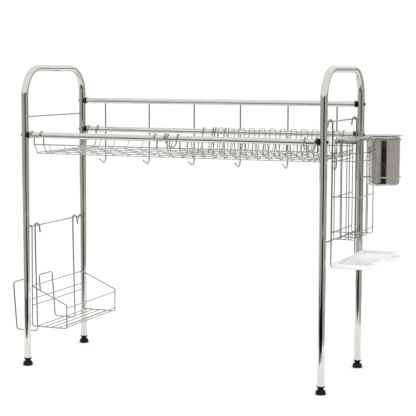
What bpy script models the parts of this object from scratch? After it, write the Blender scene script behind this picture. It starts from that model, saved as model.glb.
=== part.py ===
"""A dish drying rack that stands over a sink: two bent-tube side frames, three rails and hung wire baskets.

Units are metres, +Z is up, +X runs along the rails and +Y to the rear. Every builder below takes rack
coordinates, measured from the middle of the four legs, and RACK_X moves them so that the whole object's
box is centred on the origin.
"""
import math

import bmesh
import bpy
from mathutils import Matrix, Vector

OBJECT_NAME = "dish_drying_rack"
GAP = 0.0003                    # clearance between neighbouring pieces

# Side frames
LEG_SPAN = 0.840                # between the two side frames' centre planes
LEG_DEPTH = 0.329               # between front and rear leg centres
LEG_R = 0.0095
TUBE_WALL = 0.001
ARCH_TOP_Z = 0.810              # centre line of the bent top
ARCH_BEND = 0.075
SIDE_X = LEG_SPAN / 2
SIDE_Y = LEG_DEPTH / 2
SIDE_WIRE_R = 0.002
SIDE_WIRE_Z = (0.380, 0.680)

# Feet
FOOT_TOP_Z = 0.0215
FOOT_BASE_R = 0.0135

# Rails
RAIL_R = 0.008
FRONT_RAIL_Z = 0.6315
REAR_RAIL_Z = 0.6345
TOP_RAIL_Z = 0.717
SADDLE_T = 0.007                # from the leg's surface to the rail's end
SPIGOT_R = RAIL_R - TUBE_WALL - GAP
SPIGOT_L = 0.014
SCREW_R = 0.0019
SCREW_HEAD_R = 0.0045

# Wires
STEM_R = 0.002                  # cup hooks
FRAME_WIRE_R = 0.0018           # basket frames and hooks
MESH_WIRE_R = 0.0014            # basket floor and comb wires
HANGER_R = 0.0022               # the hook wires of the side baskets

# Cup hooks
HOOK_COUNT = 6
HOOK_PITCH = 0.140
HOOK_BOTTOM_Z = 0.5395
HOOK_REACH = 0.042

# Baskets on the rails
HOOK_CLEAR = 0.0012             # between a rail and a hook bent over it
BASKET_WALL_Y = SIDE_Y - RAIL_R - HOOK_CLEAR - FRAME_WIRE_R
BASKET_FLOOR_Y = 0.139
BASKET_FLOOR_Z = 0.583
BASKET_UPPER_Z = 0.607
HAIRPIN_DROP = 0.012            # how far a rail hook hangs below the rail in front
HAIRPIN_W = 0.029
UTILITY_X = (-0.399, -0.006)
RIM_LAP = 0.0018                # the rim wire lies this far inside and below the bend it is welded to
UTILITY_RIBS = 4
UTILITY_FLOOR_Y = (-0.128, -0.043, 0.043, 0.128)
DISH_X = (0.001, 0.401)
DISH_RIBS = 5
DISH_FLOOR_Y = (-0.128, 0.0, 0.128)
COMB_PITCH = 0.030
COMB_SLOTS = 12
COMB_START_X = 0.0275           # the middle of the first trough
FRONT_COMB = {"y": -0.118, "low": 0.589, "high": 0.634, "trough": 0.007, "crest": 0.0035}
REAR_COMB = {"y": 0.100, "low": 0.589, "high": 0.651, "trough": 0.0045, "crest": 0.0085}

# Caddy on the left side frame
CADDY_HOOK_Y = 0.109
CADDY_LIFT = 0.060              # the hook wires stay upright this far down, so that the caddy lifts off
CADDY_LOW_X = -0.420
CADDY_LOW_Z = 0.085
CADDY_LOOP_Z = 0.217
CADDY_LOOP_X = (-0.486, -0.4955)
CADDY_LOOP_W = 0.076
CADDY_STUB = 0.048              # the loop's short inner end
CADDY_BACK_X = -0.4152
CADDY_FRONT_X = -0.308
CADDY_Y = 0.146
CADDY_RIM_Z = 0.217
CADDY_BACK_WIRES_Z = (0.163, 0.181)
CADDY_FLOOR_Z = 0.1055
CADDY_FLOOR_WIRES_X = (-0.399, -0.376, -0.352, -0.329, -0.316)
CADDY_FRONT_Z = 0.1705
CADDY_BEND = 0.004
CADDY_TIP = 0.012               # the end frames' hooks reach this far down outside the side wire

# Board and knife holder on the right side frame
HOLDER_HOOK_Y = 0.107
HOLDER_X = (0.4300, 0.4860)
HOLDER_Y = (-0.1025, 0.0575)
HOLDER_TOP_Z = 0.625
HOLDER_FLOOR_Z = 0.385
HOLDER_DIVIDERS = 4
HOLDER_LAP = 1.4 * MESH_WIRE_R  # crossing wires are welded with their centre lines this far apart
HOLDER_RUNGS_Z = (0.600, 0.490, 0.402)
PLATE_Z = 0.6365
PLATE_T = 0.0012
PLATE_FLANGE = 0.010
KNIFE_SLOT_W = 0.006

# Cutlery cup and its hoops
CUP_X = 0.5335
CUP_Y = -0.0225
CUP_R = 0.041
CUP_WALL = 0.0008
CUP_LIP_R = 0.048
CUP_Z = (0.519, 0.646)
HOOP_WIRE_R = 0.0016
HOOP_Z = (0.5405, 0.6345)
HOOP_ARM_Y = 0.030              # the two arms stand this far from the cup's middle

# Drip tray
TRAY_X = (0.4335, 0.5270)
TRAY_Y = (-0.1250, 0.1600)
TRAY_Z = (0.3150, 0.3260)
TRAY_WALL = 0.0022
SPOUT_Y = (0.040, 0.105)
SPOUT_REACH = 0.024
CARRIER_Z = TRAY_Z[0] - GAP - FRAME_WIRE_R

LEFT_END = min(CADDY_LOOP_X) - HANGER_R
RIGHT_END = CUP_X + CUP_LIP_R
RACK_X = -(LEFT_END + RIGHT_END) / 2


def rack(x, y, z):
    """A point given from the middle of the legs, in the object's own frame."""
    return Vector((x + RACK_X, y, z))


# Scene and materials

def clear_scene():
    for item in list(bpy.data.objects):
        bpy.data.objects.remove(item, do_unlink=True)
    for old in list(bpy.data.collections):
        bpy.data.collections.remove(old)


def collection(name):
    made = bpy.data.collections.new(name)
    bpy.context.scene.collection.children.link(made)
    return made


def material(name, colour, metallic, roughness):
    made = bpy.data.materials.new(name)
    made.use_nodes = True
    shader = made.node_tree.nodes["Principled BSDF"]
    shader.inputs["Base Color"].default_value = (*colour, 1.0)
    shader.inputs["Metallic"].default_value = metallic
    shader.inputs["Roughness"].default_value = roughness
    return made


clear_scene()
PARTS = collection(OBJECT_NAME)
CUTTERS = collection("cutters")
TUBE_STEEL = material("polished_tube_steel", (0.62, 0.61, 0.59), 1.0, 0.16)
WIRE_STEEL = material("bright_wire_steel", (0.66, 0.66, 0.64), 1.0, 0.22)
CUP_STEEL = material("brushed_cup_steel", (0.58, 0.57, 0.55), 1.0, 0.28)
DARK_SCREW = material("dark_screw_steel", (0.06, 0.06, 0.06), 1.0, 0.35)
BLACK_MOULDING = material("black_moulding", (0.015, 0.015, 0.016), 0.0, 0.55)
WHITE_MOULDING = material("white_moulding", (0.86, 0.87, 0.87), 0.0, 0.35)


# Building blocks

def group_empty(name, location):
    """An empty at a lifting piece's joint, which its nodes hang from."""
    made = bpy.data.objects.new(name, None)
    PARTS.objects.link(made)
    made.location = location
    made.empty_display_size = 0.03
    return made


def add_part(name, mesh, finish, parent=None):
    mesh.name = name
    mesh.materials.clear()
    mesh.materials.append(finish)
    mesh.shade_smooth()
    mesh.set_sharp_from_angle(angle=math.radians(50))
    made = bpy.data.objects.new(name, mesh)
    PARTS.objects.link(made)
    if parent:
        made.parent = parent
        made.matrix_parent_inverse = Matrix.Translation(parent.location).inverted()
    return made


def evaluated_mesh(source):
    """The finished mesh of a curve or of an object with modifiers, in world space, seams welded."""
    bpy.context.view_layer.update()
    graph = bpy.context.evaluated_depsgraph_get()
    mesh = bpy.data.meshes.new_from_object(source.evaluated_get(graph))
    mesh.transform(source.matrix_world)
    shape = bmesh.new()
    shape.from_mesh(mesh)
    bmesh.ops.remove_doubles(shape, verts=shape.verts, dist=1e-6)
    bmesh.ops.dissolve_degenerate(shape, edges=shape.edges, dist=1e-6)
    shape.to_mesh(mesh)
    shape.free()
    return mesh


def baked(source):
    """Turn a source object into its finished mesh and drop the source."""
    mesh = evaluated_mesh(source)
    bpy.data.objects.remove(source, do_unlink=True)
    return mesh


def cutter(mesh):
    made = bpy.data.objects.new("cutter", mesh)
    CUTTERS.objects.link(made)
    made.display_type = 'WIRE'
    made.hide_render = True
    return made


def combined(meshes, operation='UNION'):
    """The first mesh with the others joined to it, or cut from it."""
    base = cutter(meshes[0])
    others = bpy.data.collections.new("others")
    bpy.context.scene.collection.children.link(others)
    for mesh in meshes[1:]:
        others.objects.link(bpy.data.objects.new("other", mesh))
    step = base.modifiers.new("combine", 'BOOLEAN')
    step.operation = operation
    step.operand_type = 'COLLECTION'
    step.collection = others
    step.solver = 'EXACT'
    result = baked(base)
    for item in list(others.objects):
        bpy.data.objects.remove(item, do_unlink=True)
    bpy.data.collections.remove(others)
    return result


def rounded(points, radius, turn_step, closed=False):
    """A path through the points with each corner turned into an arc, a point every turn_step degrees."""
    if closed:
        corners = list(zip([points[-1]] + points[:-1], points, points[1:] + [points[0]]))
        path = []
    else:
        corners = list(zip(points, points[1:], points[2:]))
        path = [points[0]]
    for before, corner, after in corners:
        into = (before - corner).normalized()
        out = (after - corner).normalized()
        half = into.angle(out) / 2
        reach = min(radius / math.tan(half), 0.49 * (before - corner).length, 0.49 * (after - corner).length)
        turn = reach * math.tan(half)
        middle = corner + (into + out).normalized() * turn / math.sin(half)
        start = corner + into * reach - middle
        end = corner + out * reach - middle
        sweep = start.angle(end)
        steps = max(1, round(math.degrees(sweep) / turn_step))
        for step in range(steps + 1):
            share = step / steps
            weight_start = math.sin((1 - share) * sweep) / math.sin(sweep)
            weight_end = math.sin(share * sweep) / math.sin(sweep)
            path.append(middle + start * weight_start + end * weight_end)
    if not closed:
        path.append(points[-1])
    return path


def sweep_curve(path, radius, resolution, capped=True, closed=False):
    data = bpy.data.curves.new("path", 'CURVE')
    data.dimensions = '3D'
    data.bevel_depth = radius
    data.bevel_resolution = resolution
    data.use_fill_caps = capped
    spline = data.splines.new('POLY')
    spline.points.add(len(path) - 1)
    for point, place in zip(spline.points, path):
        point.co = (*place, 1.0)
    spline.use_cyclic_u = closed
    made = bpy.data.objects.new("path", data)
    CUTTERS.objects.link(made)
    return made


def wire(points, radius, bend, turn_step=30, resolution=1, closed=False):
    """A bent wire through rack points, as a mesh."""
    path = [rack(*point) for point in points]
    if bend:
        path = rounded(path, bend, turn_step, closed)
    return baked(sweep_curve(path, radius, resolution, not closed, closed))


def ring(centre, radius, wire_radius, sides=20):
    """A closed hoop lying level."""
    path = []
    for step in range(sides):
        angle = 2 * math.pi * step / sides
        path.append(centre + Vector((radius * math.cos(angle), radius * math.sin(angle), 0)))
    return baked(sweep_curve(path, wire_radius, 1, capped=False, closed=True))


def tube(points, radius, wall, bend, turn_step):
    """An open-ended tube with a real wall."""
    path = rounded([rack(*point) for point in points], bend, turn_step)
    source = sweep_curve(path, radius, 4, capped=False)
    shell = cutter(baked(source))
    thick = shell.modifiers.new("wall", 'SOLIDIFY')
    thick.thickness = wall
    thick.offset = -1
    return baked(shell)


def turned(profile, steps, place):
    """A solid turned about local Z from (radius, height) pairs that run top to bottom."""
    mesh = bpy.data.meshes.new("profile")
    edges = [(index, index + 1) for index in range(len(profile) - 1)]
    mesh.from_pydata([(radius, 0, height) for radius, height in profile], edges, [])
    source = cutter(mesh)
    source.matrix_world = place
    spin = source.modifiers.new("turn", 'SCREW')
    spin.steps = steps
    spin.render_steps = steps
    spin.use_merge_vertices = True
    spin.merge_threshold = 0.00001
    return baked(source)


def rod(start, end, radius, sides=12):
    """A plain round bar between two points in the object's frame."""
    axis = end - start
    shape = bmesh.new()
    turn = axis.to_track_quat('Z', 'Y').to_matrix().to_4x4()
    place = Matrix.Translation((start + end) / 2) @ turn
    bmesh.ops.create_cone(shape, cap_ends=True, segments=sides, radius1=radius, radius2=radius,
                          depth=axis.length, matrix=place)
    mesh = bpy.data.meshes.new("rod")
    shape.to_mesh(mesh)
    shape.free()
    return mesh


def block(low, high):
    """A box between two corners in the object's frame."""
    shape = bmesh.new()
    size = high - low
    place = Matrix.Translation((low + high) / 2) @ Matrix.Diagonal((*size, 1))
    bmesh.ops.create_cube(shape, size=1, matrix=place)
    mesh = bpy.data.meshes.new("block")
    shape.to_mesh(mesh)
    shape.free()
    return mesh


# The fixed frame

RAILS = {
    "front_rail": (-SIDE_Y, FRONT_RAIL_Z),
    "rear_lower_rail": (SIDE_Y, REAR_RAIL_Z),
    "rear_upper_rail": (SIDE_Y, TOP_RAIL_Z),
}
SIDES = {"left": -1, "right": 1}


def side_frame(side, sign):
    """One inverted-U tube, drilled for the rail screws."""
    x = sign * SIDE_X
    corners = [(x, -SIDE_Y, FOOT_TOP_Z + GAP), (x, -SIDE_Y, ARCH_TOP_Z),
               (x, SIDE_Y, ARCH_TOP_Z), (x, SIDE_Y, FOOT_TOP_Z + GAP)]
    shell = tube(corners, LEG_R, TUBE_WALL, ARCH_BEND, 15)
    holes = []
    for y, z in RAILS.values():
        reach = 2 * LEG_R
        holes.append(rod(rack(x - reach, y, z), rack(x + reach, y, z), SCREW_R + GAP, 8))
    add_part(f"{side}_side_frame", combined([shell] + holes, 'DIFFERENCE'), TUBE_STEEL)


def side_wires(side, sign):
    """Two straight wires between a side frame's legs, which the side baskets hang on."""
    end = SIDE_Y - LEG_R - GAP
    for level, z in zip(("lower", "upper"), SIDE_WIRE_Z):
        x = sign * SIDE_X
        bar = rod(rack(x, -end, z), rack(x, end, z), SIDE_WIRE_R, 8)
        add_part(f"{side}_{level}_side_wire", bar, WIRE_STEEL)


def foot(name, x, y):
    """A moulded foot whose plug is pressed into the leg's end."""
    plug_r = LEG_R - TUBE_WALL - GAP
    profile = [(0, 0.040), (plug_r - 0.001, 0.040), (plug_r, 0.037), (plug_r, FOOT_TOP_Z),
               (0.0105, FOOT_TOP_Z), (0.0105, 0.0185), (0.0080, 0.0140), (FOOT_BASE_R, 0.0060),
               (FOOT_BASE_R, 0), (0, 0)]
    add_part(name, turned(profile, 12, Matrix.Translation(rack(x, y, 0))), BLACK_MOULDING)


def rail(name, y, z):
    end = SIDE_X - LEG_R - SADDLE_T - GAP
    add_part(name, tube([(-end, y, z), (end, y, z)], RAIL_R, TUBE_WALL, 0, 15), TUBE_STEEL)


def saddle(name, sign, y, z):
    """A moulded saddle: a curved seat against the leg and a spigot inside the rail."""
    face = SIDE_X - LEG_R - SADDLE_T
    facing = Matrix.Rotation(math.radians(90) * sign, 4, 'Y')
    base = SADDLE_T + LEG_R * 0.6
    profile = [(0, base), (RAIL_R + 0.0008, base), (RAIL_R + 0.0008, 0), (SPIGOT_R, 0),
               (SPIGOT_R, 0.001 - SPIGOT_L), (SPIGOT_R - 0.001, -SPIGOT_L), (0, -SPIGOT_L)]
    body = turned(profile, 12, Matrix.Translation(rack(sign * face, y, z)) @ facing)
    leg_space = rod(rack(sign * SIDE_X, y, z - 0.02), rack(sign * SIDE_X, y, z + 0.02), LEG_R + GAP, 20)
    screw_space = rod(rack(sign * (SIDE_X + 0.01), y, z), rack(sign * (face - SPIGOT_L + 0.003), y, z),
                      SCREW_R + GAP, 8)
    add_part(name, combined([body, leg_space, screw_space], 'DIFFERENCE'), BLACK_MOULDING)


def rail_screw(name, sign, y, z):
    """A pan-head screw through the leg into the saddle's spigot."""
    seat = LEG_R + GAP
    length = 2 * LEG_R + SADDLE_T + SPIGOT_L - 0.004
    profile = [(0, 0.0026), (0.0030, 0.0020), (SCREW_HEAD_R, 0.0005), (SCREW_HEAD_R, 0),
               (SCREW_R, 0), (SCREW_R, 0.001 - length), (0, -length)]
    facing = Matrix.Rotation(math.radians(90) * sign, 4, 'Y')
    place = Matrix.Translation(rack(sign * (SIDE_X + seat), y, z)) @ facing
    add_part(name, turned(profile, 8, place), DARK_SCREW)


def cup_hook(name, x):
    """A stem welded behind both rear rails that ends in an open hook towards the front."""
    y = SIDE_Y + RAIL_R + GAP + STEM_R
    tip_y = y - HOOK_REACH
    points = [(x, y, TOP_RAIL_Z + 0.004), (x, y, HOOK_BOTTOM_Z), (x, y - 0.55 * HOOK_REACH, HOOK_BOTTOM_Z),
              (x, tip_y, HOOK_BOTTOM_Z + 0.011)]
    add_part(name, wire(points, STEM_R, 0.018, 25), WIRE_STEEL)


# Baskets that hang on the front and rear lower rails

def hook_leg(x, sign):
    """Points of one leg of an end loop, from the basket floor over a rail to its hairpin end."""
    rail_z = FRONT_RAIL_Z if sign < 0 else REAR_RAIL_Z
    clear = RAIL_R + HOOK_CLEAR + FRAME_WIRE_R
    outer = sign * (SIDE_Y + clear)
    inner = sign * BASKET_WALL_Y
    return [(x, sign * BASKET_FLOOR_Y, BASKET_FLOOR_Z), (x, inner, BASKET_UPPER_Z),
            (x, inner, rail_z + clear), (x, outer, rail_z + clear),
            (x, outer, rail_z - RAIL_R - HAIRPIN_DROP)]


def end_loop(x_near, x_far):
    """One closed wire under a basket's end: it hooks over both rails and ends in a hairpin on each."""
    front = hook_leg(x_near, -1)[::-1] + hook_leg(x_near, 1)
    rear = hook_leg(x_far, 1)[::-1] + hook_leg(x_far, -1)
    return wire(front + rear, FRAME_WIRE_R, RAIL_R + HOOK_CLEAR, 45, 1, True)


def rib(x, radius):
    """A U-shaped rib across the basket, up both walls."""
    top = BASKET_UPPER_Z
    points = [(x, -BASKET_WALL_Y, top), (x, -BASKET_FLOOR_Y, BASKET_FLOOR_Z),
              (x, BASKET_FLOOR_Y, BASKET_FLOOR_Z), (x, BASKET_WALL_Y, top)]
    return wire(points, radius, 0.010, 45, 0)


def long_wire(x_range, y, z, radius):
    return rod(rack(x_range[0] - radius, y, z), rack(x_range[1] + radius, y, z), radius, 6)


def rail_basket(name, x_range, rib_count, floor_ys, parent):
    """End loops, ribs and long wires welded into one basket."""
    inner = (x_range[0] + HAIRPIN_W, x_range[1] - HAIRPIN_W)
    pieces = [end_loop(x_range[0], inner[0]), end_loop(x_range[1], inner[1])]
    spacing = (inner[1] - inner[0]) / (rib_count + 1)
    for index in range(rib_count):
        pieces.append(rib(inner[0] + (index + 1) * spacing, MESH_WIRE_R))
    under = BASKET_FLOOR_Z - 0.6 * (FRAME_WIRE_R + MESH_WIRE_R)
    for y in floor_ys:
        pieces.append(long_wire(x_range, y, under, MESH_WIRE_R))
    rim_y = BASKET_WALL_Y - RIM_LAP
    for sign in (-1, 1):
        pieces.append(long_wire(x_range, sign * rim_y, BASKET_UPPER_Z - RIM_LAP, FRAME_WIRE_R))
    add_part(name, combined(pieces), WIRE_STEEL, parent)


def comb(name, shape, parent):
    """A wave of wire along the dish basket: a plate stands in each trough."""
    y, low, high = shape["y"], shape["low"], shape["high"]
    points = [(COMB_START_X, y, low)]
    for slot in range(COMB_SLOTS):
        start = COMB_START_X + slot * COMB_PITCH
        middle = start + COMB_PITCH / 2
        end = start + COMB_PITCH
        points += [(start + shape["trough"], y, low), (middle - shape["crest"], y, high),
                   (middle + shape["crest"], y, high), (end - shape["trough"], y, low)]
    points.append((COMB_START_X + COMB_SLOTS * COMB_PITCH, y, low))
    add_part(name, wire(points, MESH_WIRE_R, 0), WIRE_STEEL, parent)


# Caddy on the left lower side wire

def caddy_hook(name, sign, parent):
    """Hook over the side wire, a long drop, and a loop on the outer side."""
    y = sign * CADDY_HOOK_Y
    over = SIDE_WIRE_R + GAP + HANGER_R
    top = SIDE_WIRE_Z[0] + over
    outside = -SIDE_X - over
    inside = -SIDE_X + over
    foot_x, loop_x = CADDY_LOOP_X
    loop_y = y - sign * CADDY_LOOP_W
    points = [(inside + 0.001, y, top - 0.024), (inside, y, top), (outside, y, top),
              (outside, y, top - CADDY_LIFT), (CADDY_LOW_X, y, CADDY_LOW_Z), (foot_x, y, CADDY_LOW_Z),
              (loop_x, y, CADDY_LOOP_Z), (loop_x, loop_y, CADDY_LOOP_Z),
              (loop_x + 0.004, loop_y, CADDY_LOOP_Z - CADDY_STUB)]
    add_part(name, wire(points, HANGER_R, 0.0095, 30), WIRE_STEEL, parent)


def caddy_basket(parent):
    """A small open basket. Its end wires go on up from the back and hook over the side wire."""
    pieces = []
    over = SIDE_WIRE_R + GAP + FRAME_WIRE_R
    top = SIDE_WIRE_Z[0] + over
    outside = -SIDE_X - over
    for sign in (-1, 1):
        y = sign * CADDY_Y
        points = [(outside, y, top - CADDY_TIP), (outside, y, top), (CADDY_BACK_X, y, top),
                  (CADDY_BACK_X, y, CADDY_FLOOR_Z), (CADDY_FRONT_X, y, CADDY_FLOOR_Z),
                  (CADDY_FRONT_X, y, CADDY_FRONT_Z)]
        pieces.append(wire(points, FRAME_WIRE_R, CADDY_BEND, 45))
        pieces.append(rod(rack(CADDY_FRONT_X, y, CADDY_FRONT_Z - 0.0008), rack(CADDY_BACK_X, y, CADDY_RIM_Z),
                          FRAME_WIRE_R, 12))
    back = [(CADDY_BACK_X, z) for z in CADDY_BACK_WIRES_Z + (CADDY_RIM_Z,)]
    front = [(CADDY_FRONT_X, CADDY_FRONT_Z - 0.010), (CADDY_FRONT_X, CADDY_FLOOR_Z + 0.009)]
    floor = [(x, CADDY_FLOOR_Z - 0.0005) for x in CADDY_FLOOR_WIRES_X]
    for x, z in back + front + floor:
        pieces.append(rod(rack(x, -CADDY_Y, z), rack(x, CADDY_Y, z), MESH_WIRE_R, 6))
    add_part("caddy_basket", combined(pieces), WIRE_STEEL, parent)


# Board and knife holder on the right upper side wire

def holder_hook(name, sign, low_z, parent):
    """Hook over the side wire and a straight drop beside the cage."""
    y = sign * HOLDER_HOOK_Y
    over = SIDE_WIRE_R + GAP + HANGER_R
    top = SIDE_WIRE_Z[1] + over
    points = [(SIDE_X - over - 0.003, y, top - 0.022), (SIDE_X - over, y, top),
              (SIDE_X + over, y, top), (SIDE_X + over, y, low_z)]
    add_part(name, wire(points, HANGER_R, 0.0045, 30), WIRE_STEEL, parent)


def holder_cage(parent):
    """U-shaped dividers joined by rungs on both sides."""
    pieces = []
    inner, outer = HOLDER_X
    first, last = HOLDER_Y
    spacing = (last - first) / (HOLDER_DIVIDERS - 1)
    for index in range(HOLDER_DIVIDERS):
        y = first + index * spacing
        points = [(inner, y, HOLDER_TOP_Z), (inner, y, HOLDER_FLOOR_Z), (outer, y, HOLDER_FLOOR_Z),
                  (outer, y, HOLDER_TOP_Z)]
        pieces.append(wire(points, MESH_WIRE_R, 0.008, 45))
    middle = (inner + outer) / 2
    pieces.append(rod(rack(middle, first, HOLDER_FLOOR_Z), rack(middle, first, HOLDER_TOP_Z), MESH_WIRE_R, 6))
    lap = HOLDER_LAP
    for z in HOLDER_RUNGS_Z:
        for x in (inner + lap, outer + lap):
            pieces.append(rod(rack(x, first - 0.002, z), rack(x, last + 0.002, z), MESH_WIRE_R, 6))
        cross = first - lap
        pieces.append(rod(rack(inner - 0.001, cross, z + 0.002), rack(outer + 0.001, cross, z + 0.002),
                          MESH_WIRE_R, 6))
    for x in (inner + 0.014, outer - 0.014):
        pieces.append(rod(rack(x, first, HOLDER_FLOOR_Z + lap), rack(x, last, HOLDER_FLOOR_Z + lap),
                          MESH_WIRE_R, 6))
    add_part("holder_cage", combined(pieces), WIRE_STEEL, parent)


def knife_plate(parent):
    """A folded sheet on top of the cage with a knife slot over each bay."""
    low = rack(HOLDER_X[0] - 0.0005, HOLDER_Y[0] - 0.003, PLATE_Z - PLATE_T)
    high = rack(HOLDER_X[1] + 0.002, HOLDER_Y[1] + 0.003, PLATE_Z)
    sheet = block(low, high)
    front = block(Vector((low.x, low.y, low.z - PLATE_FLANGE)), Vector((high.x, low.y + PLATE_T, high.z)))
    rear = block(Vector((low.x, high.y - PLATE_T, low.z - PLATE_FLANGE)), Vector((high.x, high.y, high.z)))
    folded = combined([sheet, front, rear])
    bays = HOLDER_DIVIDERS - 1
    pitch = (HOLDER_Y[1] - HOLDER_Y[0]) / bays
    slots = []
    for index in range(bays):
        y = HOLDER_Y[0] + (index + 0.5) * pitch
        slots.append(block(Vector((low.x + 0.008, y - KNIFE_SLOT_W / 2, low.z - 0.004)),
                           Vector((high.x - 0.008, y + KNIFE_SLOT_W / 2, high.z + 0.004))))
    add_part("knife_plate", combined([folded] + slots, 'DIFFERENCE'), CUP_STEEL, parent)


def cup_hoop(name, z, parent):
    """A hoop round the cup with two arms welded to the cage's outer rungs."""
    radius = CUP_R + GAP + HOOP_WIRE_R + 0.0004
    hoop = ring(rack(CUP_X, CUP_Y, z), radius, HOOP_WIRE_R)
    start = HOLDER_X[1] + 2 * HOLDER_LAP
    end = CUP_X - math.sqrt(radius ** 2 - HOOP_ARM_Y ** 2)
    arms = []
    for side in (-1, 1):
        y = CUP_Y + side * HOOP_ARM_Y
        arms.append(rod(rack(start, y, z), rack(end, y, z), HOOP_WIRE_R, 6))
    add_part(name, combined([hoop] + arms), WIRE_STEEL, parent)


def cutlery_cup(parent):
    """A drawn cup with a flared lip and a rounded foot."""
    low, high = CUP_Z
    inner = CUP_R - CUP_WALL
    profile = [(0, low + CUP_WALL), (inner - 0.006, low + CUP_WALL), (inner - 0.0015, low + 0.0025),
               (inner, low + 0.007), (inner, high - 0.0105), (inner + 0.002, high - 0.005),
               (CUP_LIP_R, high), (CUP_LIP_R, high - CUP_WALL),
               (CUP_R + 0.0022, high - 0.0058), (CUP_R, high - 0.0105), (CUP_R, low + 0.007),
               (CUP_R - 0.0015, low + 0.002), (CUP_R - 0.006, low), (0, low)]
    add_part("cutlery_cup", turned(profile, 24, Matrix.Translation(rack(CUP_X, CUP_Y, 0))), CUP_STEEL, parent)


def tray_carrier(parent):
    """A wire below the cage that runs under the drip tray and up behind its far edge."""
    x = SIDE_X + SIDE_WIRE_R + GAP + HANGER_R
    low = CARRIER_Z
    points = [(x, -HOLDER_HOOK_Y, SIDE_WIRE_Z[0] - 0.020), (x, -HOLDER_HOOK_Y, low),
              (TRAY_X[1] - 0.006, -HOLDER_HOOK_Y, low), (TRAY_X[1] - 0.006, HOLDER_HOOK_Y, low),
              (x, HOLDER_HOOK_Y, low), (x, HOLDER_HOOK_Y, SIDE_WIRE_Z[0] - 0.020)]
    add_part("tray_carrier", wire(points, FRAME_WIRE_R, 0.008), WIRE_STEEL, parent)


def drip_tray(parent):
    """A shallow moulded tray with a pouring lip on its outer edge."""
    low = rack(TRAY_X[0], TRAY_Y[0], TRAY_Z[0])
    high = rack(TRAY_X[1], TRAY_Y[1], TRAY_Z[1])
    body = block(low, high)
    spout = block(Vector((high.x - 0.01, SPOUT_Y[0], low.z)),
                  Vector((high.x + SPOUT_REACH, SPOUT_Y[1], high.z - 0.001)))
    inset = Vector((TRAY_WALL, TRAY_WALL, TRAY_WALL))
    hollow = block(low + inset, Vector((high.x - TRAY_WALL, high.y - TRAY_WALL, high.z + 0.01)))
    channel = block(Vector((high.x - 0.02, SPOUT_Y[0] + TRAY_WALL, low.z + TRAY_WALL)),
                    Vector((high.x + SPOUT_REACH - TRAY_WALL, SPOUT_Y[1] - TRAY_WALL, high.z + 0.01)))
    shell = combined([combined([body, spout]), hollow, channel], 'DIFFERENCE')
    add_part("drip_tray", shell, WHITE_MOULDING, parent)


def build_frame():
    for side, sign in SIDES.items():
        side_frame(side, sign)
        side_wires(side, sign)
        for end, y in (("front", -SIDE_Y), ("rear", SIDE_Y)):
            foot(f"foot_{side}_{end}", sign * SIDE_X, y)
        for name, (y, z) in RAILS.items():
            saddle(f"saddle_{side}_{name}", sign, y, z)
            rail_screw(f"screw_{side}_{name}", sign, y, z)
    for name, (y, z) in RAILS.items():
        rail(name, y, z)
    for index in range(HOOK_COUNT):
        x = (index - (HOOK_COUNT - 1) / 2) * HOOK_PITCH
        cup_hook(f"cup_hook_{index + 1}", x)


def build_rail_baskets():
    utility = group_empty("utility_basket_lift", rack(sum(UTILITY_X) / 2, 0, BASKET_FLOOR_Z))
    rail_basket("utility_basket", UTILITY_X, UTILITY_RIBS, UTILITY_FLOOR_Y, utility)
    dish = group_empty("dish_basket_lift", rack(sum(DISH_X) / 2, 0, BASKET_FLOOR_Z))
    rail_basket("dish_basket", DISH_X, DISH_RIBS, DISH_FLOOR_Y, dish)
    comb("front_plate_comb", FRONT_COMB, dish)
    comb("rear_plate_comb", REAR_COMB, dish)


def build_caddy():
    caddy = group_empty("caddy_lift", rack(-SIDE_X, 0, SIDE_WIRE_Z[0]))
    caddy_hook("caddy_front_hook_wire", -1, caddy)
    caddy_hook("caddy_rear_hook_wire", 1, caddy)
    caddy_basket(caddy)


def build_holder():
    holder = group_empty("board_holder_lift", rack(SIDE_X, 0, SIDE_WIRE_Z[1]))
    holder_hook("holder_front_hook_wire", -1, HOLDER_FLOOR_Z - 0.012, holder)
    holder_hook("holder_rear_hook_wire", 1, HOLDER_FLOOR_Z - 0.012, holder)
    holder_cage(holder)
    knife_plate(holder)
    for level, z in zip(("lower", "upper"), HOOP_Z):
        cup_hoop(f"{level}_cup_hoop", z, holder)
    tray_carrier(holder)
    cup = group_empty("cutlery_cup_lift", rack(CUP_X, CUP_Y, CUP_Z[0]))
    cutlery_cup(cup)
    tray = group_empty("drip_tray_lift", rack(sum(TRAY_X) / 2, 0, TRAY_Z[0]))
    drip_tray(tray)


build_frame()
build_rail_baskets()
build_caddy()
build_holder()
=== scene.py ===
# %% [markdown]
# # A dish drying rack for over the sink
#
# Two side frames of bent stainless tube stand on black feet. Three round rails join them. Everything else
# hangs: two welded wire baskets, a row of cup hooks, a caddy on the left and a board holder with a cutlery
# cup and a drip tray on the right. The solid model is already made and says where each piece is; this
# script dresses it, so the sizes below are read from it or are the real sizes of wire and sheet.

# %% Load the frame
import math

import bmesh
import bpy
from mathutils import Matrix, Vector


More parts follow.
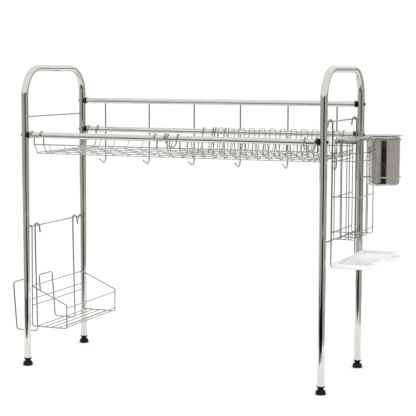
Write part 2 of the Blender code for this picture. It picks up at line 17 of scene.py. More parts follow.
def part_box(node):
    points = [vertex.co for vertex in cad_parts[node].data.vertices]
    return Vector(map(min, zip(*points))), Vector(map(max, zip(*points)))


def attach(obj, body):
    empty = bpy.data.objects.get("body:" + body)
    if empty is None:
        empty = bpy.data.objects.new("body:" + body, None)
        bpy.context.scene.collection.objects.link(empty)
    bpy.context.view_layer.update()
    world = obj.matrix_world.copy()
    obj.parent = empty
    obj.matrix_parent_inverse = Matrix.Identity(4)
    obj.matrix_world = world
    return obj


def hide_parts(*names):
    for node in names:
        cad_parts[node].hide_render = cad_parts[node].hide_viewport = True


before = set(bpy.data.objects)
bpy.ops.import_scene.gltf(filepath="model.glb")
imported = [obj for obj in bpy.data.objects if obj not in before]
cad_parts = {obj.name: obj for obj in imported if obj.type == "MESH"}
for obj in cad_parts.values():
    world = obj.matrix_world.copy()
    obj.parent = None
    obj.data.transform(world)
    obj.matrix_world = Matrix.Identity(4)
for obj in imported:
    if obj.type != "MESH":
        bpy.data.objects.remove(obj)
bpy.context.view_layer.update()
MM = 0.001
SCENE = bpy.context.scene


# %% Places read from the solid model
def middle(node):
    """The middle of a node's box."""
    low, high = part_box(node)
    return (Vector(low) + Vector(high)) / 2


def low(node):
    return Vector(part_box(node)[0])


def high(node):
    return Vector(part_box(node)[1])


LEFT = middle("foot_left_front").x
RIGHT = middle("foot_right_front").x
FRONT = middle("foot_left_front").y
REAR = middle("foot_left_rear").y
MID_X = (LEFT + RIGHT) / 2
RAILS = {name: middle(name) for name in ("front_rail", "rear_lower_rail", "rear_upper_rail")}
print(f"legs {RIGHT - LEFT:.3f} m apart, {REAR - FRONT:.3f} m deep")

# %% [markdown]
# ## Camera, floor and light
#
# The rack is shown as a shop would show it: on a white sweep under soft light, seen from a little to the
# right and just above the top. A polished tube has no look of its own and only mirrors the room, so the
# room matters. White paper lies under the rack and the studio beyond it is grey. A dark card behind the
# camera gives each leg its dark stripe, and a dark strip of floor in front of the paper gives each rail its
# dark lower line. The cards are seen in reflections only.

# %% Camera
LENS_MM = 114.24
SENSOR_MM = 36.0
CAMERA_PLACE = Vector((MID_X + 1.3951, -3.2647, 0.8114))
CAMERA_YAW = 0.3920
CAMERA_PITCH = 0.1055
CAMERA_ROLL = 0.0029


def aim(yaw, pitch, roll):
    """A camera's rotation: yaw to the left of +Y, pitch down, roll clockwise."""
    forward = Vector((-math.sin(yaw) * math.cos(pitch), math.cos(yaw) * math.cos(pitch), -math.sin(pitch)))
    level = Vector((math.cos(yaw), math.sin(yaw), 0))
    upright = level.cross(forward)
    right = math.cos(roll) * level + math.sin(roll) * upright
    up = math.cos(roll) * upright - math.sin(roll) * level
    return Matrix((right, up, -forward)).transposed().to_4x4()


camera = bpy.data.objects.new("camera", bpy.data.cameras.new("camera"))
camera.data.lens = LENS_MM
camera.data.sensor_width = SENSOR_MM
camera.matrix_world = Matrix.Translation(CAMERA_PLACE) @ aim(CAMERA_YAW, CAMERA_PITCH, CAMERA_ROLL)
SCENE.collection.objects.link(camera)
SCENE.camera = camera
SCENE.view_settings.view_transform = 'Standard'
print("camera at", tuple(round(value, 3) for value in CAMERA_PLACE))


# %% Colours and one helper for shader and geometry nodes
def linear(hex_colour):
    """An sRGB hex colour as linear RGBA."""
    values = [int(hex_colour[place:place + 2], 16) / 255 for place in (1, 3, 5)]
    return tuple(v / 12.92 if v <= 0.04045 else ((v + 0.055) / 1.055) ** 2.4 for v in values) + (1.0,)


def add(tree, kind, settings=None, **links):
    """Adds a node. Settings are its properties; links name an input and give its value or an output."""
    made = tree.nodes.new(kind)
    for key, value in (settings or {}).items():
        setattr(made, key, value)
    for key, value in links.items():
        socket = made.inputs[int(key[1:])] if key[0] == "i" and key[1:].isdigit() else \
            made.inputs[key.replace("_", " ")]
        if isinstance(value, bpy.types.NodeSocket):
            tree.links.new(value, socket)
        else:
            socket.default_value = value
    return made


# %% Floor and a way to make reflection cards
def plane(name, corners):
    """A flat four-sided card."""
    mesh = bpy.data.meshes.new(name)
    mesh.from_pydata([tuple(corner) for corner in corners], [], [(0, 1, 2, 3)])
    made = bpy.data.objects.new(name, mesh)
    SCENE.collection.objects.link(made)
    return made


def glow_material(name, hex_colour):
    """A flat tone that is the same from every side."""
    made = bpy.data.materials.new(name)
    made.use_nodes = True
    tree = made.node_tree
    tree.nodes.clear()
    glow = add(tree, "ShaderNodeEmission", Color=linear(hex_colour))
    add(tree, "ShaderNodeOutputMaterial", Surface=glow.outputs["Emission"])
    return made


def reflection_card(name, corners, tone):
    """A card that only polished surfaces see."""
    card = plane(name, corners)
    card.data.materials.append(tone)
    for ray in ("camera", "diffuse", "shadow", "transmission", "volume_scatter"):
        setattr(card, f"visible_{ray}", False)
    return card


PAPER = bpy.data.materials.new("white sweep paper")
PAPER.use_nodes = True
PAPER.node_tree.nodes["Principled BSDF"].inputs["Base Color"].default_value = linear("#FBFBFB")
PAPER.node_tree.nodes["Principled BSDF"].inputs["Roughness"].default_value = 0.9
PAPER.node_tree.nodes["Principled BSDF"].inputs["Specular IOR Level"].default_value = 0.0
FLOOR_HALF = 12.0
floor = plane("floor", [(-FLOOR_HALF, -FLOOR_HALF, 0), (FLOOR_HALF, -FLOOR_HALF, 0),
                        (FLOOR_HALF, FLOOR_HALF, 0), (-FLOOR_HALF, FLOOR_HALF, 0)])
floor.data.materials.append(PAPER)

# %% Grey studio round the paper
STUDIO_GREY = glow_material("grey studio", "#B9B8B4")
DARK_FLOOR = glow_material("dark floor", "#6A6864")
DARK_CARD = glow_material("dark card", "#0E0E0D")
PAPER_EDGE = 0.36               # how far the white paper reaches in front of the legs
PAPER_SIDE = 1.0                # and how far to the right of the middle
RUNNER_SPAN = (-1.1, 0.3)       # the dark floor strip in front, left to right of the middle
RUNNER_DEPTH = 0.70
WALL_AWAY = 6.0
WALL_HEIGHT = 1.6
WALL_SIDES = 12
for index in range(WALL_SIDES):
    turns = [2 * math.pi * (index + share) / WALL_SIDES for share in (0, 1)]
    feet_of_wall = [(MID_X + WALL_AWAY * math.cos(turn), WALL_AWAY * math.sin(turn)) for turn in turns]
    wall = [(*feet_of_wall[0], 0), (*feet_of_wall[1], 0),
            (*feet_of_wall[1], WALL_HEIGHT), (*feet_of_wall[0], WALL_HEIGHT)]
    reflection_card(f"studio_wall_{index}", wall, STUDIO_GREY)
edge_y = FRONT - PAPER_EDGE
reflection_card("studio_floor", [(-WALL_AWAY, -WALL_AWAY, 0.002), (WALL_AWAY, -WALL_AWAY, 0.002),
                                 (WALL_AWAY, edge_y, 0.002), (-WALL_AWAY, edge_y, 0.002)], STUDIO_GREY)
side_x = MID_X + PAPER_SIDE
right_floor = [(side_x, edge_y, 0.002), (WALL_AWAY, edge_y, 0.002),
               (WALL_AWAY, WALL_AWAY, 0.002), (side_x, WALL_AWAY, 0.002)]
reflection_card("studio_floor_right", right_floor, STUDIO_GREY)
runner_x = [MID_X + reach for reach in RUNNER_SPAN]
runner_y = edge_y - RUNNER_DEPTH
reflection_card("floor_runner", [(runner_x[0], runner_y, 0.003), (runner_x[1], runner_y, 0.003),
                                 (runner_x[1], edge_y, 0.003), (runner_x[0], edge_y, 0.003)], DARK_FLOOR)

# %% Dark gap behind the camera, and its path along the floor to each leg
GAP_ANGLES = (math.radians(-11), math.radians(20))
CARD_REACH = (0.95, 1.35)       # to the camera's left and right
CARD_HEIGHT = 1.5
PATH_STARTS = {FRONT: 0.50, REAR: 0.87}         # how far from its leg a dark path starts
ahead = Vector((CAMERA_PLACE.x - MID_X, CAMERA_PLACE.y, 0)).normalized()
sideways = Vector((-ahead.y, ahead.x, 0))
behind_camera = Vector((CAMERA_PLACE.x, CAMERA_PLACE.y, 0)) + ahead * 0.2
card_ends = [behind_camera - sideways * CARD_REACH[0], behind_camera + sideways * CARD_REACH[1]]
reflection_card("dark_card", [card_ends[0], card_ends[1], card_ends[1] + Vector((0, 0, CARD_HEIGHT)),
                              card_ends[0] + Vector((0, 0, CARD_HEIGHT))], DARK_CARD)
for index, (x, y) in enumerate(((LEFT, FRONT), (RIGHT, FRONT), (LEFT, REAR), (RIGHT, REAR))):
    leg = Vector((x, y, 0.004))
    sight = Vector((CAMERA_PLACE.x - x, CAMERA_PLACE.y - y, 0))
    edges = [Matrix.Rotation(turn, 3, 'Z') @ sight for turn in GAP_ANGLES]
    near = PATH_STARTS[y] / sight.length
    reflection_card(f"dark_path_{index}", [leg + edges[0] * near, leg + edges[0], leg + edges[1],
                                           leg + edges[1] * near], DARK_CARD)
print("studio: 12 walls, two floors, a runner, a dark card and 4 dark paths")

# %% Light
world = bpy.data.worlds.new("white room")
SCENE.world = world
world.use_nodes = True
world.node_tree.nodes["Background"].inputs["Color"].default_value = (1.0, 1.0, 1.0, 1.0)
world.node_tree.nodes["Background"].inputs["Strength"].default_value = 1.05


def soft_box(name, place, aim_at, size, power):
    """A square area light that points at a place."""
    data = bpy.data.lights.new(name, 'AREA')
    data.size = size
    data.energy = power
    made = bpy.data.objects.new(name, data)
    made.location = place
    made.rotation_euler = (Vector(aim_at) - Vector(place)).to_track_quat('-Z', 'Y').to_euler()
    SCENE.collection.objects.link(made)
    made.visible_glossy = False
    return made


soft_box("overhead_softbox", (MID_X, -0.4, 3.2), (MID_X, 0, 0), 2.6, 26)
print("one softbox")

# %% [markdown]
# ## Materials
#
# Nearly everything is 304 stainless steel, and what differs is how each piece was made. Tube is polished
# on a belt, so it mirrors clearly with very fine lines along it. Wire is drawn through a die and
# electropolished after welding: bright, a little greyer and softer, and the baskets a shade lighter. The
# cup and the knife plate are sheet, drawn or folded, with a satin left by the tools. Black mouldings have a
# spark-eroded skin, and the drip tray is white polypropylene, which is waxy. Patterns too fine to see from
# a step away are drawn coarser.

# %% A steel that any of the pieces can use
def steel(name, hex_colour, hex_shade, roughness, lines_mm, line_depth, direction):
    """Stainless steel: patchy roughness and fine lines that run along one direction."""
    made = bpy.data.materials.new(name)
    made.use_nodes = True
    tree = made.node_tree
    shader = tree.nodes["Principled BSDF"]
    place = add(tree, "ShaderNodeTexCoord").outputs["Object"]
    across = 1 / (lines_mm * MM)
    along = across / 60
    stretch = [along if axis == direction else across for axis in "XYZ"]
    drawn = add(tree, "ShaderNodeMapping", Vector=place, Scale=stretch)
    lines = add(tree, "ShaderNodeTexNoise", Vector=drawn.outputs["Vector"], Scale=1.0, Detail=3.0)
    patches = add(tree, "ShaderNodeTexNoise", Vector=place, Scale=38.0, Detail=4.0, Roughness=0.6)
    tint = add(tree, "ShaderNodeMix", {"data_type": 'RGBA'}, Factor=patches.outputs["Fac"],
               i6=linear(hex_colour), i7=linear(hex_shade))
    sheen = add(tree, "ShaderNodeMapRange", Value=patches.outputs["Fac"], i1=0.3, i2=0.7,
                i3=roughness * 0.8, i4=roughness * 1.25)
    grain = add(tree, "ShaderNodeMapRange", Value=lines.outputs["Fac"], i1=0.3, i2=0.7, i3=-0.03, i4=0.03)
    total = add(tree, "ShaderNodeMath", {"operation": 'ADD'}, i0=sheen.outputs["Result"],
                i1=grain.outputs["Result"])
    bump = add(tree, "ShaderNodeBump", Height=lines.outputs["Fac"], Strength=0.25, Distance=line_depth * MM)
    tree.links.new(tint.outputs[2], shader.inputs["Base Color"])
    tree.links.new(total.outputs["Value"], shader.inputs["Roughness"])
    tree.links.new(bump.outputs["Normal"], shader.inputs["Normal"])
    shader.inputs["Metallic"].default_value = 1.0
    return made


LEG_STEEL = steel("belt-polished stainless tube, upright", "#DAD8D3", "#CFCDC8", 0.07, 0.6, 0.01, "Z")
RAIL_STEEL = steel("belt-polished stainless tube, level", "#DAD8D3", "#CFCDC8", 0.12, 0.6, 0.02, "X")
WIRE_STEEL = steel("die-drawn electropolished wire", "#B4B2AE", "#A3A19D", 0.24, 0.4, 0.02, "X")
BASKET_STEEL = steel("bright electropolished basket wire", "#CBC9C5", "#BBB9B5", 0.24, 0.4, 0.02, "X")
CUP_STEEL = steel("satin deep-drawn stainless sheet", "#D6D4CF", "#C6C4BF", 0.17, 0.5, 0.02, "Z")
SHEET_STEEL = steel("satin folded stainless sheet", "#C4C2BD", "#B2B0AB", 0.24, 0.5, 0.03, "X")
SCREW_STEEL = steel("blackened screw steel", "#34332F", "#1E1D1B", 0.32, 0.5, 0.03, "Z")
print("seven steels")


# %% Moulded plastics
def moulded(name, hex_colour, hex_shade, roughness, grain_mm, depth, waxy, shine=0.5):
    """Injection-moulded plastic: a fine pebbled skin and a slow drift in colour."""
    made = bpy.data.materials.new(name)
    made.use_nodes = True
    tree = made.node_tree
    shader = tree.nodes["Principled BSDF"]
    place = add(tree, "ShaderNodeTexCoord").outputs["Object"]
    pebbles = add(tree, "ShaderNodeTexNoise", Vector=place, Scale=1 / (grain_mm * MM), Detail=2.0)
    drift = add(tree, "ShaderNodeTexNoise", Vector=place, Scale=20.0, Detail=2.0)
    tint = add(tree, "ShaderNodeMix", {"data_type": 'RGBA'}, Factor=drift.outputs["Fac"],
               i6=linear(hex_colour), i7=linear(hex_shade))
    gloss = add(tree, "ShaderNodeMapRange", Value=pebbles.outputs["Fac"], i1=0.3, i2=0.7,
                i3=roughness * 0.85, i4=roughness * 1.15)
    bump = add(tree, "ShaderNodeBump", Height=pebbles.outputs["Fac"], Strength=0.4, Distance=depth * MM)
    tree.links.new(tint.outputs[2], shader.inputs["Base Color"])
    tree.links.new(gloss.outputs["Result"], shader.inputs["Roughness"])
    tree.links.new(bump.outputs["Normal"], shader.inputs["Normal"])
    shader.inputs["IOR"].default_value = 1.49
    shader.inputs["Specular IOR Level"].default_value = shine
    if waxy:
        shader.inputs["Subsurface Weight"].default_value = waxy
        shader.inputs["Subsurface Radius"].default_value = (0.004, 0.004, 0.004)
    return made


BLACK_PLASTIC = moulded("spark-eroded black polypropylene", "#0B0B0C", "#121213", 0.34, 0.5, 0.03, 0, 0.2)
WHITE_PLASTIC = moulded("glossy white polypropylene", "#F6F6F5", "#F0F1F1", 0.30, 0.8, 0.01, 0.15)
print("two plastics")

# %% [markdown]
# ## Bent wire
#
# A wire piece is a straight rod bent in a jig and often made many times over: ribs, rungs, hooks. So one
# node tree does them all. It takes the corners of the bend as a poly curve, rounds them, copies the wire
# along a step, sweeps a circle along each copy and rounds off the cut ends. The number of copies, the step,
# the bend radius and the wire's diameter are inputs, so a row of ribs is one call and is easy to respace.

# %% The bent wire tree
def geometry_tree(name, inputs):
    """An empty node group with a geometry input, these named inputs and a geometry output."""
    tree = bpy.data.node_groups.new(name, 'GeometryNodeTree')
    tree.interface.new_socket("Geometry", in_out='INPUT', socket_type='NodeSocketGeometry')
    for label, kind in inputs.items():
        tree.interface.new_socket(label, in_out='INPUT', socket_type=f"NodeSocket{kind}")
    tree.interface.new_socket("Geometry", in_out='OUTPUT', socket_type='NodeSocketGeometry')
    return tree, add(tree, "NodeGroupInput").outputs


def finish_tree(tree, shape, material):
    """Ends a tree: copies made real, smooth shading, material."""
    real = add(tree, "GeometryNodeRealizeInstances", Geometry=shape)
    smooth = add(tree, "GeometryNodeSetShadeSmooth", Geometry=real.outputs["Geometry"])
    painted = add(tree, "GeometryNodeSetMaterial", Geometry=smooth.outputs["Geometry"], Material=material)
    add(tree, "NodeGroupOutput", Geometry=painted.outputs["Geometry"])


def bent_wire_tree():
    tree, given = geometry_tree("bent wire", {
        "Bend points": "Int", "Wire radius": "Float", "Sides": "Int", "Copies": "Int",
        "Step": "Vector", "Round ends": "Bool", "Material": "Material"})
    bends = add(tree, "GeometryNodeInputRadius").outputs["Radius"]
    filleted = add(tree, "GeometryNodeFilletCurve", {"mode": 'POLY'}, Curve=given["Geometry"],
                   Radius=bends, Limit_Radius=True, Count=given["Bend points"])
    rounded = add(tree, "GeometryNodeSetCurveRadius", Curve=filleted.outputs["Curve"], Radius=1.0)
    row = add(tree, "GeometryNodeMeshLine", Count=given["Copies"], Offset=given["Step"])
    copies = add(tree, "GeometryNodeInstanceOnPoints", Points=row.outputs["Mesh"],
                 Instance=rounded.outputs["Curve"])
    paths = add(tree, "GeometryNodeRealizeInstances", Geometry=copies.outputs["Instances"])
    section = add(tree, "GeometryNodeCurvePrimitiveCircle", Resolution=given["Sides"],
                  Radius=given["Wire radius"])
    swept = add(tree, "GeometryNodeCurveToMesh", Curve=paths.outputs["Geometry"],
                Profile_Curve=section.outputs["Curve"])
    ends = add(tree, "GeometryNodeCurveEndpointSelection", Start_Size=1, End_Size=1)
    ball = add(tree, "GeometryNodeMeshUVSphere", Segments=given["Sides"], Rings=6,
               Radius=given["Wire radius"])
    wanted = add(tree, "FunctionNodeBooleanMath", {"operation": 'AND'}, i0=ends.outputs["Selection"],
                 i1=given["Round ends"])
    tips = add(tree, "GeometryNodeInstanceOnPoints", Points=paths.outputs["Geometry"],
               Selection=wanted.outputs["Boolean"], Instance=ball.outputs["Mesh"])
    both = add(tree, "GeometryNodeJoinGeometry")
    tree.links.new(swept.outputs["Mesh"], both.inputs["Geometry"])
    tree.links.new(tips.outputs["Instances"], both.inputs["Geometry"])
    finish_tree(tree, both.outputs["Geometry"], given["Material"])
    return tree


BENT_WIRE = bent_wire_tree()


# %% Bake a tree on a path or a mesh
def link(obj):
    SCENE.collection.objects.link(obj)
    return obj


def run_tree(name, source, tree, values):
    """Runs a node tree on a source object and keeps the result as a plain mesh object at the origin."""
    link(source)
    step = source.modifiers.new("tree", 'NODES')
    step.node_group = tree
    sockets = {item.name: item.identifier for item in tree.interface.items_tree if item.in_out == 'INPUT'}
    for label, value in values.items():
        step[sockets[label]] = value
    bpy.context.view_layer.update()
    graph = bpy.context.evaluated_depsgraph_get()
    mesh = bpy.data.meshes.new_from_object(source.evaluated_get(graph))
    bpy.data.objects.remove(source, do_unlink=True)
    mesh.name = name
    mesh.materials.clear()
    mesh.materials.append(values["Material"])
    mesh.polygons.foreach_set("material_index", [0] * len(mesh.polygons))
    return link(bpy.data.objects.new(name, mesh))


def path_object(corners, bend, closed):
    """A poly curve through the corners. A corner's own bend radius may follow its three coordinates."""
    data = bpy.data.curves.new("path", 'CURVE')
    data.dimensions = '3D'
    spline = data.splines.new('POLY')
    spline.points.add(len(corners) - 1)
    for point, corner in zip(spline.points, corners):
        point.co = (*corner[:3], 1.0)
        point.radius = corner[3] if len(corner) > 3 else bend
    spline.use_cyclic_u = closed
    return bpy.data.objects.new("path", data)


def bent_wire(corners, radius, bend=6 * MM, copies=1, step=(0, 0, 0), closed=False, open_ends=False,
              finish=None, sides=12, bend_points=8, name="wire"):
    """One wire bent through the corners, or a row of them."""
    return run_tree(name, path_object(corners, bend, closed), BENT_WIRE, {
        "Bend points": bend_points, "Wire radius": radius, "Sides": sides, "Copies": copies,
        "Step": step, "Round ends": not (closed or open_ends), "Material": finish or WIRE_STEEL})


def welded(name, body, nodes, pieces, finish=None):
    """Joins wires into one piece of one steel that rides on a body and stands for its solid nodes."""
    mesh = bpy.data.meshes.new(name)
    mesh.materials.append(finish or WIRE_STEEL)
    shape = bmesh.new()
    for piece in pieces:
        shape.from_mesh(piece.data)
        bpy.data.objects.remove(piece, do_unlink=True)
    shape.to_mesh(mesh)
    shape.free()
    return placed(link(bpy.data.objects.new(name, mesh)), body, nodes)


def placed(piece, body, nodes):
    """Says what a finished piece rides on and stands for."""
    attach(piece, body)
    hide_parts(*nodes)
    print(f"{piece.name}: {len(piece.data.polygons)} faces on {body}")
    return piece


# %% [markdown]
# ## Side frames and rails
#
# Each side frame is one tube bent twice round a former. The wall is real: an open tube is swept and given
# its thickness inwards. The rails are straight tubes of a smaller size.

# %% Tubes
LEG_RADIUS = (high("left_side_frame").x - low("left_side_frame").x) / 2
RAIL_RADIUS = (high("front_rail").z - low("front_rail").z) / 2
TUBE_WALL = 1.0 * MM
ARCH_BEND = 75 * MM


def open_tube(name, corners, radius, bend, finish, node):
    made = bent_wire(corners, radius, bend, finish=finish, sides=48, bend_points=24, open_ends=True,
                     name=name)
    shape = bmesh.new()
    shape.from_mesh(made.data)
    bmesh.ops.remove_doubles(shape, verts=shape.verts, dist=MM / 100)
    bmesh.ops.solidify(shape, geom=shape.faces[:], thickness=TUBE_WALL)
    shape.to_mesh(made.data)
    shape.free()
    made.data.set_sharp_from_angle(angle=math.radians(40))
    return placed(made, "root", [node])


ARCH_Z = high("left_side_frame").z - LEG_RADIUS
TUBE_END_Z = low("left_side_frame").z
for side, x in (("left", LEFT), ("right", RIGHT)):
    straight = ARCH_Z - ARCH_BEND - 4 * MM      # a ring here keeps the long legs' shading true
    corners = [(x, FRONT, TUBE_END_Z), (x, FRONT, straight), (x, FRONT, ARCH_Z),
               (x, REAR, ARCH_Z), (x, REAR, straight), (x, REAR, TUBE_END_Z)]
    open_tube(f"{side}_frame_tube", corners, LEG_RADIUS, ARCH_BEND, LEG_STEEL,
              f"{side}_side_frame")
for node, place in RAILS.items():
    ends = [(low(node).x, place.y, place.z), (high(node).x, place.y, place.z)]
    open_tube(f"{node}_tube", ends, RAIL_RADIUS, 0, RAIL_STEEL, node)


# %% [markdown]
# ## Small parts that repeat
#
# Feet, saddles, screws and weld beads are each one shape used many times. Each is modelled once, by turning
# a profile on an axis as its mould was turned, and a second small tree puts a copy at every point.

# %% Scatter tree and turned shapes
def scatter_tree():
    tree, given = geometry_tree("copies at points", {"Piece": "Object", "Material": "Material"})
    piece = add(tree, "GeometryNodeObjectInfo", Object=given["Piece"])
    turn = add(tree, "GeometryNodeInputNamedAttribute", {"data_type": 'FLOAT_VECTOR'}, Name="turn")
    copies = add(tree, "GeometryNodeInstanceOnPoints", Points=given["Geometry"],
                 Instance=piece.outputs["Geometry"], Rotation=turn.outputs["Attribute"])
    finish_tree(tree, copies.outputs["Instances"], given["Material"])
    return tree


SCATTER = scatter_tree()


def copies_at(name, piece, places, finish, turns=None):
    """One mesh with a copy of the piece at each place, turned about its own axes."""
    points = bpy.data.meshes.new("points")
    points.from_pydata([tuple(place) for place in places], [], [])
    turn = points.attributes.new("turn", 'FLOAT_VECTOR', 'POINT')
    for item, angles in zip(turn.data, turns or [(0, 0, 0)] * len(places)):
        item.vector = angles
    made = run_tree(name, bpy.data.objects.new("points", points), SCATTER,
                    {"Piece": piece, "Material": finish})
    bpy.data.objects.remove(piece, do_unlink=True)
    return made


def turned(name, profile, steps=48):
    """A shape turned about its own Z axis from (radius, height) pairs."""
    shape = bmesh.new()
    ring = [shape.verts.new((radius, 0, height)) for radius, height in profile]
    edges = [shape.edges.new(pair) for pair in zip(ring, ring[1:])]
    bmesh.ops.spin(shape, geom=ring + edges, cent=(0, 0, 0), axis=(0, 0, 1), angle=2 * math.pi,
                   steps=steps, use_duplicate=False)
    bmesh.ops.remove_doubles(shape, verts=shape.verts, dist=MM / 200)
    bmesh.ops.recalc_face_normals(shape, faces=shape.faces)
    mesh = bpy.data.meshes.new(name)
    shape.to_mesh(mesh)
    shape.free()
    mesh.shade_smooth()
    mesh.set_sharp_from_angle(angle=math.radians(40))
    return link(bpy.data.objects.new(name, mesh))


def cut(obj, tools):
    """Cuts the tools out of an object with an exact Boolean and removes them."""
    for tool in tools:
        step = obj.modifiers.new("cut", 'BOOLEAN')
        step.object = tool
        step.operation = 'DIFFERENCE'
        step.solver = 'EXACT'
    bpy.context.view_layer.update()
    graph = bpy.context.evaluated_depsgraph_get()
    obj.data = bpy.data.meshes.new_from_object(obj.evaluated_get(graph))
    obj.modifiers.clear()
    for tool in tools:
        bpy.data.objects.remove(tool, do_unlink=True)
    return obj


def block(name, lowest, highest):
    """A plain box between two corners."""
    mesh = bpy.data.meshes.new(name)
    shape = bmesh.new()
    size = Vector(highest) - Vector(lowest)
    centre = (Vector(highest) + Vector(lowest)) / 2
    bmesh.ops.create_cube(shape, size=1, matrix=Matrix.Translation(centre) @ Matrix.Diagonal((*size, 1)))
    shape.to_mesh(mesh)
    shape.free()
    return link(bpy.data.objects.new(name, mesh))


# %% Feet
FOOT_PROFILE_MM = [(0, 38), (7.0, 38), (8.0, 36), (8.0, 21.6), (10.3, 21.6), (10.8, 21.2), (10.9, 19.6),
                   (10.5, 18.8), (8.0, 16.0), (7.3, 14.8), (7.3, 13.8), (7.9, 13.0), (10.2, 11.8),
                   (11.9, 9.8), (12.9, 7.4), (13.1, 6.2), (12.8, 5.8), (12.8, 5.2), (13.3, 4.8),
                   (13.5, 3.4), (13.2, 1.4), (12.4, 0.3), (11.6, 0), (0, 0)]
foot = turned("foot", [(radius * MM, height * MM) for radius, height in FOOT_PROFILE_MM])
corners = [Vector((x, y, 0)) for x in (LEFT, RIGHT) for y in (FRONT, REAR)]
feet = copies_at("moulded_feet", foot, corners, BLACK_PLASTIC)
FEET = [f"foot_{side}_{end}" for side in ("left", "right") for end in ("front", "rear")]
placed(feet, "root", FEET)

# %% Saddles between the legs and the rails
SADDLE_LENGTH = abs(low("front_rail").x - LEFT) - LEG_RADIUS
SADDLE_RADIUS = RAIL_RADIUS + 0.8 * MM
BORE = SADDLE_RADIUS - 2.4 * MM


def saddle():
    """A collar along +Z whose far end is hollowed to sit on the leg."""
    reach = SADDLE_LENGTH + 0.6 * LEG_RADIUS
    profile = [(BORE, -12 * MM), (BORE, 0), (SADDLE_RADIUS - 0.5 * MM, 0), (SADDLE_RADIUS, 0.5 * MM),
               (SADDLE_RADIUS, reach), (0, reach), (0, -12 * MM), (BORE, -12 * MM)]
    collar = turned("saddle", profile)
    leg = turned("leg", [(0, -30 * MM), (LEG_RADIUS, -30 * MM), (LEG_RADIUS, 30 * MM), (0, 30 * MM)])
    leg.matrix_world = Matrix.Translation((0, 0, SADDLE_LENGTH + LEG_RADIUS)) @ Matrix.Rotation(
        math.pi / 2, 4, 'Y')
    return cut(collar, [leg])


LEFTWARDS = (0, -math.pi / 2, 0)
RIGHTWARDS = (0, math.pi / 2, 0)
places = [Vector((low(rail).x, spot.y, spot.z)) for rail, spot in RAILS.items()]
places += [Vector((high(rail).x, spot.y, spot.z)) for rail, spot in RAILS.items()]
SIDES = ("left", "right")
saddles = copies_at("rail_saddles", saddle(), places, BLACK_PLASTIC, [LEFTWARDS] * 3 + [RIGHTWARDS] * 3)
placed(saddles, "root", [f"saddle_{side}_{rail}" for side in SIDES for rail in RAILS])

# %% Screws
PAN_HEAD_MM = [(0, 2.7), (1.6, 2.6), (3.0, 2.1), (4.0, 1.3), (4.5, 0.5), (4.5, 0),
               (1.9, 0), (1.9, -34), (0, -34)]


def screw():
    """A pan-head screw along +Z with a cross recess."""
    made = turned("screw", [(radius * MM, height * MM) for radius, height in PAN_HEAD_MM], 32)
    half, width, deep = 2.3 * MM, 0.45 * MM, 1.2 * MM
    arms = [block("arm", (-half, -width, deep), (half, width, 4 * MM)),
            block("arm", (-width, -half, deep), (width, half, 4 * MM))]
    return cut(made, arms)


places = [Vector((LEFT - LEG_RADIUS, spot.y, spot.z)) for spot in RAILS.values()]
places += [Vector((RIGHT + LEG_RADIUS, spot.y, spot.z)) for spot in RAILS.values()]
screws = copies_at("rail_screws", screw(), places, SCREW_STEEL, [LEFTWARDS] * 3 + [RIGHTWARDS] * 3)
placed(screws, "root", [f"screw_{side}_{rail}" for side in SIDES for rail in RAILS])


# %% [markdown]
# ## Wires on the frame
#
# Two straight wires are welded across each side frame for the side baskets to hang on, and six cup hooks
# are welded behind the rear rails. A spot weld leaves a small bead where two wires cross, so every joint
# gets one.

# %% Weld beads, side wires and cup hooks
def beads(places, radius):
    """Spot-weld beads at the crossings of wires."""
    part = 0.7 * radius
    ball = turned("bead", [(0, -radius), (part, -part), (radius, 0), (part, part), (0, radius)], 8)
    return copies_at("beads", ball, places, WIRE_STEEL)


def at(x, y, z, *bend):
    """A place measured from the middle of the four legs, with an optional bend radius."""
    return (MID_X + x, y, z, *bend)


for side, x in (("left", LEFT), ("right", RIGHT)):
    for level in ("lower", "upper"):
        node = f"{side}_{level}_side_wire"
        spot = middle(node)
        reach = REAR - LEG_RADIUS
        ends = [(x, -reach, spot.z), (x, reach, spot.z)]
        pieces = [bent_wire(ends, 2.0 * MM), beads(ends, 2.9 * MM)]
        welded(node + "_rod", "root", [node], pieces)

HOOK_PITCH = 140 * MM
HOOK_STEM_Y = 0.1752
HOOK_BOTTOM_Z = 0.5400
UPPER_Z = RAILS["rear_upper_rail"].z
LOWER_Z = RAILS["rear_lower_rail"].z


def cup_hooks():
    start = -2.5 * HOOK_PITCH
    corners = [at(start, HOOK_STEM_Y, UPPER_Z + 4 * MM),
               at(start, HOOK_STEM_Y, HOOK_BOTTOM_Z + 4 * MM, 14 * MM),
               at(start, HOOK_STEM_Y - 15 * MM, HOOK_BOTTOM_Z - 2 * MM, 4 * MM),
               at(start, HOOK_STEM_Y - 41 * MM, HOOK_BOTTOM_Z + 10 * MM)]
    hooks = bent_wire(corners, 2.0 * MM, copies=6, step=(HOOK_PITCH, 0, 0))
    welds = []
    for index in range(6):
        for z in (UPPER_Z, LOWER_Z):
            welds.append(at(start + index * HOOK_PITCH, HOOK_STEM_Y - 1.6 * MM, z))
    return [hooks, beads(welds, 2.4 * MM)]


welded("cup_hook_row", "root", [f"cup_hook_{index}" for index in range(1, 7)], cup_hooks())

# %% [markdown]
# ## Baskets on the rails
#
# Each basket hangs from two closed wires, one at each end. Such a wire runs under the basket, up both walls,
# over the rails and down again, and ends in a hairpin in front of the rail. Ribs cross from wall to wall
# and long wires tie them together.

# %% Basket wires
FRAME_WIRE = 1.8 * MM
MESH_WIRE = 1.2 * MM
HOOK_GAP = 1.2 * MM
WALL_Y = REAR - RAIL_RADIUS - HOOK_GAP - FRAME_WIRE
FLOOR_Y = 0.139
FLOOR_Z = 0.583
RIM_Z = 0.607
HAIRPIN = 0.029


